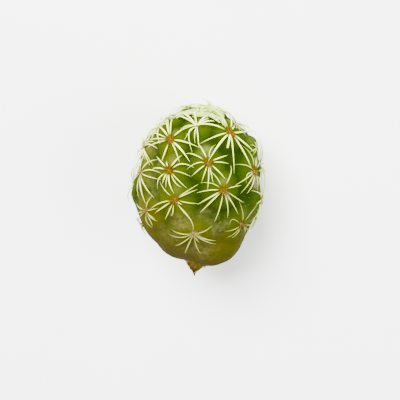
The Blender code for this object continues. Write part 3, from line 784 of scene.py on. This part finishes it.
def make_pads(crowns, material):
    """A low rough pad of felt in each areole."""
    points = []
    faces = []
    ambers = []
    for number, crown in enumerate(crowns):
        outward = unit(crown)
        radius = PAD_SPREAD * by_polar(outward, AREOLE_RADII)
        first = len(points)
        points.append(crown + outward * (PAD_HEIGHT - PAD_SINK))
        for ring in range(1, PAD_RINGS + 1):
            share = ring / PAD_RINGS
            rise = PAD_HEIGHT * (1.0 - share ** 2) - PAD_SINK * share
            for spoke in range(PAD_SPOKES):
                turn = math.tau * spoke / PAD_SPOKES
                flat = way_at(outward, turn)
                edge = Vector((math.cos(turn), math.sin(turn), number / PAD_EDGE_WAVES))
                ragged = 1.0 + PAD_RAGGEDNESS * noise.noise(edge * PAD_EDGE_WAVES)
                point = crown + share * ragged * radius * flat + outward * rise
                rough = PAD_ROUGHNESS * noise.noise(Vector(point) * PAD_WAVES)
                points.append(point + outward * rough)
        for spoke in range(PAD_SPOKES):
            following = (spoke + 1) % PAD_SPOKES
            faces.append((first, first + 1 + spoke, first + 1 + following))
            for ring in range(PAD_RINGS - 1):
                low = first + 1 + ring * PAD_SPOKES
                high = low + PAD_SPOKES
                faces.append((low + spoke, high + spoke, high + following, low + following))
        ambers += [amber_of(number)] * (len(points) - first)
    points = above_floor(points, FLOOR_CLEARANCE)
    return add_object("areole_felt", points, faces, material, amber=ambers)


def add_hair(strands, root, way, length, width, bow, chance, ceiling=math.inf, **values):
    """A thin curved hair that leaves its root one way and stays this low over the crowns."""
    shares = np.linspace(0.0, 1.0, HAIR_STEPS)
    outward = unit(root)
    bow = bow * length * chance.uniform(*BOW_SHARES)
    sway = np.cross(way, outward) * chance.uniform(-HAIR_SWAY, HAIR_SWAY) * length
    path = root + shares[:, None] * way * length
    path = path + (4.0 * shares * (1.0 - shares))[:, None] * outward * bow
    path = path + (shares ** 2)[:, None] * sway
    directions = unit(path)
    radius = np.minimum(np.linalg.norm(path, axis=1), crown_radius(directions) + ceiling)
    path = above_floor(directions * radius[:, None], FLOOR_CLEARANCE)
    side = unit(np.cross(way, outward + HAIR_SIDE_NUDGE))
    strands.add(path, 0.5 * width * (1.0 - HAIR_TAPER * shares), side, **values)


def make_wool(crowns, material):
    """Short wool on every areole, and grey tufts that hang from some of them."""
    strands = Strands(HAIR_SIDES)
    for number, crown in enumerate(crowns):
        luck = luck_for("wool", number)
        outward = unit(crown)
        radius = by_polar(outward, AREOLE_RADII)
        for _ in range(WOOL_COUNT):
            flat = way_at(outward, luck.uniform(0.0, math.tau))
            root = crown + flat * radius * luck.uniform(*WOOL_ROOTS) + outward * WOOL_ROOT_LIFT
            lean = flat * luck.uniform(*WOOL_LEANS) + outward * luck.uniform(*WOOL_RISES)
            add_hair(strands, root, unit(lean), luck.uniform(*WOOL_LENGTHS), WOOL_WIDTH,
                     HAIR_BOW, luck, grey=0.0, amber=amber_of(number), shade=WOOL_SHADE)
    add_bundles(strands, GREY_BUNDLES, luck_for("grey"), grey=1.0, amber=0.0)
    return strands.make("areole_wool", material)


def make_tuft(crowns, material):
    """The tangle of young hairs that covers the apex."""
    strands = Strands(HAIR_SIDES)
    for number, crown in enumerate(crowns[:TUFT_STARS]):
        luck = luck_for("tuft", number)
        outward = unit(crown)
        radius = by_polar(outward, AREOLE_RADII)
        for _ in range(TUFT_COUNT):
            flat = way_at(outward, luck.uniform(0.0, math.tau))
            root = crown + flat * radius * luck.uniform(0.0, 1.0)
            root = root + outward * luck.uniform(0.0, TUFT_LIFT)
            lean = unit(flat + outward * luck.uniform(*TUFT_RISES))
            length = luck.uniform(*TUFT_LENGTHS)
            add_hair(strands, root, lean, length, TUFT_WIDTH, WEB_BOW, luck, TUFT_CEILING,
                     shade=luck.random())
    add_bundles(strands, WEB_BUNDLES, luck_for("web"))
    return strands.make("apex_tuft", material)


def add_bundles(strands, bundles, luck, **values):
    """Long hairs that lean together in bundles, each hair with its own shade."""
    for root, tip, stray, count, width in bundles:
        for _ in range(count):
            ends = [point_seen_at(luck.gauss(across, stray), luck.gauss(up, stray),
                                  WEB_CLEARANCE * luck.random()) for across, up in (root, tip)]
            way = ends[1] - ends[0]
            length = np.linalg.norm(way)
            add_hair(strands, ends[0], way / length, length, width * MM, WEB_BOW, luck,
                     shade=luck.random(), **values)


def make_stub(material):
    """The tapered stub of the stalk, ridged along its length."""
    rings = np.array([(*place, radius) for place, radius in STUB_RINGS])
    shares = np.linspace(0.0, 1.0, STUB_STEPS)
    steps = rings[0, 1] + shares * (rings[-1, 1] - rings[0, 1])
    rings = [eased(np.interp(-steps, -rings[:, 1], values), STUB_EASING) for values in rings.T]
    points = []
    for *centre, radius in zip(*rings):
        for side in range(STUB_SIDES):
            turn = math.tau * side / STUB_SIDES
            flat = np.array((math.cos(turn), 0.0, math.sin(turn)))
            ridge = STUB_RIDGE_DEPTH * math.sin(STUB_RIDGES * turn + STUB_RIDGE_TWIST * centre[1])
            dent = Vector((flat[0], centre[1], flat[2])) * STUB_DENT_WAVES
            dent = STUB_DENT_DEPTH * noise.noise(dent)
            points.append((np.array(centre) + flat * radius * (1.0 + ridge + dent)) * MM)
    faces = []
    for ring in range(STUB_STEPS - 1):
        for side in range(STUB_SIDES):
            following = (side + 1) % STUB_SIDES
            low, high = ring * STUB_SIDES, (ring + 1) * STUB_SIDES
            faces.append((low + side, low + following, high + following, high + side))
    faces.append(tuple(range(len(points) - STUB_SIDES, len(points))))
    return add_object("stub", points, faces, material, along=np.repeat(shares, STUB_SIDES))


def eased(values, reach):
    """A row of values with its corners rounded over this many places to each side."""
    window = 2 * reach + 1
    return np.convolve(np.pad(values, reach, mode="edge"), np.ones(window) / window, mode="valid")


def make_sliver(material):
    """A curled dry sliver that lies along the stub."""
    shares = np.linspace(0.0, 1.0, SLIVER_STEPS)
    across, up, depth = line_through(np.array(SLIVER_PATH), shares).T
    path = point_at_depth(across, up, depth * MM)
    strands = Strands(SPINE_SIDES)
    side = unit(np.cross((0.0, 0.0, 1.0), path[-1] - path[0]))
    reach = np.sqrt(SLIVER_BLUNTNESS - (2.0 * shares - 1.0) ** 2)
    strands.add(path, 0.5 * SLIVER_WIDTH * reach, side)
    return strands.make("dry_sliver", material)


def make_bud(material):
    """The tiny bud beside the stub."""
    directions, faces = cube_sphere(BUD_GRID)
    across, up, depth = BUD_PLACE
    middle = point_at_depth(across, up, depth * MM)
    return add_object("bud", middle + directions * BUD_SIZE, faces.tolist(), material)


class Paint:
    """A procedural material on one Principled shader."""

    def __init__(self, name):
        self.material = bpy.data.materials.new(name)
        self.material.use_nodes = True
        self.nodes = self.material.node_tree.nodes
        self.shader = self.nodes["Principled BSDF"]
        self.place = self.nodes.new("ShaderNodeTexCoord").outputs["Object"]

    def fill(self, socket, source):
        """Link a socket to an output, or give it a fixed value."""
        if isinstance(source, bpy.types.NodeSocket):
            self.material.node_tree.links.new(source, socket)
        else:
            socket.default_value = source

    def fill_all(self, node, sources):
        """Fill the sockets of a node, by name with _ for a space."""
        for name, source in sources.items():
            self.fill(node.inputs[name.replace("_", " ")], source)
        return node

    def set(self, **sources):
        """Fill the shader's own sockets."""
        self.fill_all(self.shader, sources)

    def new(self, kind, **sources):
        """A new node with its sockets filled."""
        return self.fill_all(self.nodes.new(kind), sources)

    def value(self, name):
        """A value kept at the points of the mesh."""
        node = self.new("ShaderNodeAttribute")
        node.attribute_name = name
        return node.outputs["Fac"]

    def noise(self, size, detail=3.0, roughness=0.5):
        """Soft noise whose waves are about this wide."""
        node = self.new("ShaderNodeTexNoise", Vector=self.place, Scale=1.0 / size, Detail=detail,
                        Roughness=roughness)
        return node.outputs["Fac"]

    def dots(self, size):
        """Distance to the nearest of many scattered points, this far apart."""
        node = self.new("ShaderNodeTexVoronoi", Vector=self.place, Scale=1.0 / size)
        return node.outputs["Distance"]

    def spread(self, source, low, high, first=0.0, last=1.0):
        """Map a value's range from low to high onto another range, held at its ends."""
        node = self.new("ShaderNodeMapRange", Value=source, From_Min=low, From_Max=high,
                        To_Min=first, To_Max=last)
        return node.outputs["Result"]

    def math(self, operation, first, second):
        """Two values combined."""
        node = self.new("ShaderNodeMath")
        node.operation = operation
        for socket, source in zip(node.inputs, (first, second)):
            self.fill(socket, source)
        return node.outputs["Value"]

    def mix(self, share, first, second):
        """Two colours mixed by a share. Each is linear red, green and blue, or an output."""
        node = self.new("ShaderNodeMix")
        node.data_type = "RGBA"
        factor, low, high = (node.inputs[place] for place in MIX_COLOUR_INPUTS)
        self.fill(factor, share)
        for socket, source in ((low, first), (high, second)):
            self.fill(socket, (*source, 1.0) if isinstance(source, tuple) else source)
        return node.outputs[MIX_COLOUR_OUTPUT]

    def colour(self, output):
        self.set(Base_Color=output)

    def bump(self, height, depth):
        """Fine relief of this depth."""
        node = self.new("ShaderNodeBump", Distance=depth, Height=height)
        self.set(Normal=node.outputs["Normal"])


def skin_paint():
    """Waxy skin: fresh green above; olive to the left and below, partly age and partly a painted
    warm reflection; painted shade in the creases and a painted brown shade at the base.
    """
    paint = Paint("waxy_skin")
    broad = paint.noise(3.0 * MM)
    fine = paint.noise(0.5 * MM, detail=5.0)
    # Olive to the left and below: partly age, partly a painted warm reflection.
    left = paint.spread(paint.value("to_the_left"), -0.3, 0.8)
    low = paint.spread(paint.value("towards_base"), 0.42, 0.8)
    age_and_reflection = paint.math("ADD", paint.math("MULTIPLY", left, 0.55), paint.math("MULTIPLY", low, 0.9))
    age_and_reflection = paint.math("ADD", age_and_reflection, paint.spread(broad, 0.35, 0.65, -0.15, 0.15))
    colour = paint.mix(paint.spread(age_and_reflection, 0.0, 1.0), FRESH_GREEN, OLIVE_GREEN)
    # Painted shade: darker green deep in the creases, weaker towards the base.
    crease = paint.spread(paint.value("crease"), 0.25, 0.85, 0.0, 0.9)
    crease = paint.math("MULTIPLY", crease, paint.spread(low, 0.2, 1.0, 1.0, 0.25))
    colour = paint.mix(crease, colour, CREASE_SHADE_GREEN)
    pale = paint.math("MULTIPLY", paint.value("pale"), paint.spread(fine, 0.3, 0.6, 0.6, 1.0))
    colour = paint.mix(pale, colour, PALE_OLIVE)
    # Painted shade and warm reflection: browner towards the base.
    base_shade = paint.spread(paint.value("towards_base"), 0.68, 0.98, 0.0, 0.85)
    base_shade = paint.math("MULTIPLY", base_shade, paint.spread(broad, 0.4, 0.6, 0.55, 1.1))
    colour = paint.mix(base_shade, colour, BASE_SHADE_BROWN)
    # Whitish patches: partly wear and partly a painted sheen on the lower skin.
    clouds = paint.noise(0.9 * MM, detail=10.0, roughness=0.85)
    worn = paint.math("MULTIPLY", paint.value("worn"), paint.spread(clouds, 0.42, 0.72, 0.0, 1.0))
    colour = paint.mix(worn, colour, WEAR_AND_SHEEN_WHITE)
    dots = paint.spread(paint.dots(0.42 * MM), 0.10, 0.22, 1.0, 0.0)
    dots = paint.math("MULTIPLY", paint.value("speckled"), dots)
    colour = paint.mix(paint.math("MULTIPLY", dots, 0.6), colour, WEAR_AND_SHEEN_WHITE)
    paint.colour(colour)
    paint.set(Roughness=paint.spread(fine, 0.3, 0.7, 0.55, 0.75), Subsurface_Weight=0.35,
              Subsurface_Radius=(0.9, 1.0, 0.25), Subsurface_Scale=0.9 * MM, IOR=1.05)
    paint.bump(paint.noise(0.14 * MM, detail=4.0), 0.012 * MM)
    return paint.material


def spine_paint():
    """Glassy cream spines, amber at the root and greener towards the tip, with painted shade:
    greener on the underside and greyer on stars in shade.
    """
    paint = Paint("spine_cream")
    along = paint.value("along")
    luck = paint.spread(paint.value("luck"), 0.0, 1.0, 0.0, 0.35)
    green = paint.math("ADD", paint.spread(along, 0.35, 1.0, 0.0, 0.35), luck)
    # Painted shade: greener on the underside that faces the skin.
    green = paint.math("ADD", green, paint.spread(paint.value("upper"), 0.0, 0.9, 0.6, 0.0))
    colour = paint.mix(green, SPINE_CREAM, SPINE_GREEN)
    # Painted shade: spines of stars in shade are greyer.
    colour = paint.mix(paint.value("dull"), colour, SPINE_DULL)
    amber = paint.spread(along, 0.08, 0.24, 1.0, 0.0)
    amber = paint.math("MULTIPLY", amber, paint.value("amber"))
    paint.colour(paint.mix(amber, colour, SPINE_AMBER))
    paint.set(Roughness=0.35, Subsurface_Weight=0.35, Subsurface_Radius=(1.0, 1.0, 0.5),
              Subsurface_Scale=0.12 * MM, IOR=1.06)
    paint.bump(paint.noise(0.08 * MM, detail=2.0), 0.006 * MM)
    return paint.material


def felt_paint():
    """Felt of the areoles, amber where the star is."""
    paint = Paint("areole_felt")
    grain = paint.noise(0.10 * MM, detail=3.0)
    amber = paint.mix(paint.spread(paint.noise(0.22 * MM), 0.4, 0.6), FELT_BROWN, FELT_AMBER)
    share = paint.math("MULTIPLY", paint.value("amber"), paint.spread(grain, 0.3, 0.65, 1.15, 0.55))
    paint.colour(paint.mix(share, FELT_PALE, amber))
    paint.set(Roughness=0.9, IOR=1.02)
    paint.bump(grain, 0.04 * MM)
    return paint.material


def wool_paint():
    """Wool of the areoles: cream or amber, or grey where it hangs in a tuft."""
    paint = Paint("areole_wool")
    colour = paint.mix(paint.value("amber"), WOOL_CREAM, WOOL_AMBER)
    shade = paint.spread(paint.noise(0.3 * MM), 0.3, 0.7, -0.15, 0.15)
    share = paint.math("ADD", paint.value("grey"), shade)
    paint.colour(paint.mix(share, colour, WOOL_GREY))
    paint.set(Roughness=0.8, Subsurface_Weight=0.3, Subsurface_Radius=(1.0, 0.9, 0.7),
              Subsurface_Scale=0.1 * MM, IOR=1.03)
    return paint.material


def tuft_paint():
    """Young hairs of the apex, pale and half clear, with painted shade greener on their undersides.
    """
    paint = Paint("tuft_pale")
    share = paint.spread(paint.noise(0.6 * MM), 0.3, 0.7, 0.0, 0.3)
    # Painted shade: greener on the underside that faces the skin.
    share = paint.math("ADD", share, paint.spread(paint.value("upper"), 0.0, 0.9, 0.4, 0.0))
    share = paint.math("ADD", share, paint.spread(paint.value("shade"), 0.4, 1.0, 0.0, 0.5))
    paint.colour(paint.mix(share, TUFT_PALE, SPINE_GREEN))
    paint.set(Roughness=0.4, Subsurface_Weight=0.4, Subsurface_Radius=(1.0, 1.0, 0.7),
              Subsurface_Scale=0.15 * MM)
    return paint.material


def stub_paint():
    """Dry skin of the stub, olive at its root and browner towards its point."""
    paint = Paint("stub_bark")
    streaks = paint.noise(0.35 * MM, detail=5.0, roughness=0.65)
    share = paint.math("ADD", paint.spread(paint.value("along"), 0.3, 0.9),
                       paint.spread(streaks, 0.35, 0.65, -0.3, 0.3))
    haze = paint.math("MULTIPLY", paint.spread(paint.value("along"), 0.35, 0.75, 0.55, 0.0),
                      paint.spread(streaks, 0.4, 0.7))
    colour = paint.mix(share, STUB_OLIVE, STUB_BROWN)
    paint.colour(paint.mix(haze, colour, WEAR_AND_SHEEN_WHITE))
    paint.set(Roughness=0.7, IOR=1.02)
    paint.bump(streaks, 0.05 * MM)
    return paint.material


def sliver_paint():
    """Papery dry bark."""
    paint = Paint("sliver_paper")
    share = paint.spread(paint.noise(0.2 * MM), 0.35, 0.65, 0.0, 0.6)
    paint.colour(paint.mix(share, SLIVER_PINK, STUB_OLIVE))
    paint.set(Roughness=0.7)
    paint.bump(paint.noise(0.12 * MM), 0.02 * MM)
    return paint.material


def floor_paint():
    """Plain pale card."""
    paint = Paint("pale_card")
    share = paint.spread(paint.noise(30.0 * MM), 0.3, 0.7, 0.0, 0.03)
    paint.colour(paint.mix(share, FLOOR_WHITE, PALE_OLIVE))
    paint.set(Roughness=0.9)
    return paint.material


def make_floor():
    """The pale floor that the cactus lies on."""
    half = FLOOR_WIDTH / 2.0
    corners = [(-half, -half), (half, -half), (half, half), (-half, half)]
    mesh = bpy.data.meshes.new("floor")
    mesh.from_pydata([(x, y, FLOOR_DROP) for x, y in corners], [], [(0, 1, 2, 3)])
    mesh.materials.append(floor_paint())
    floor = add_to_scene("floor", mesh)


def add_light(name, place, width, power):
    """A square area light that faces the cactus."""
    data = bpy.data.lights.new(name, "AREA")
    data.energy = power
    data.size = width
    light = add_to_scene(name, data)
    light.location = place
    facing = Vector(WAIST_CENTRE) - Vector(place)
    light.rotation_euler = facing.to_track_quat("-Z", "Y").to_euler()


def set_stage():
    """Floor, soft studio light and a pale sky."""
    make_floor()
    for name, place, width, power in LIGHTS:
        add_light(name, place, width, power)
    world = bpy.data.worlds.new("pale_sky")
    world.use_nodes = True
    background = world.node_tree.nodes["Background"]
    background.inputs["Color"].default_value = SKY_COLOUR
    background.inputs["Strength"].default_value = SKY_STRENGTH
    bpy.context.scene.world = world


def set_camera():
    """The camera, at the eye from which the upper stars were measured."""
    data = bpy.data.cameras.new("camera")
    data.sensor_width = SENSOR_WIDTH
    data.lens = SENSOR_WIDTH * EYE_DISTANCE / VIEW_WIDTH
    data.clip_start, data.clip_end = CLIP_RANGE
    camera = add_to_scene("camera", data)
    eye = from_measured_plane(np.array((*VIEW_MIDDLE, EYE_DISTANCE))) + WAIST_CENTRE
    axes = from_measured_plane(np.eye(3)).T
    camera.matrix_world = Matrix.Translation(eye) @ Matrix(axes).to_4x4()
    bpy.context.scene.camera = camera


def dress():
    """Model and paint the cactus over its frame."""
    areoles = areole_directions()
    heights = tubercle_heights(areoles)
    crowns = areoles * (egg_radius(areoles) + relief(areoles, areoles, heights))[:, None]
    skin = make_skin(areoles, heights, crowns, skin_paint())
    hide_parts(NODE)
    make_spines(crowns, spine_paint())
    make_pads(crowns, felt_paint())
    make_wool(crowns, wool_paint())
    make_tuft(crowns, tuft_paint())
    make_stub(stub_paint())
    paper = sliver_paint()
    make_bud(paper)
    make_sliver(paper)


dress()
set_stage()
set_camera()
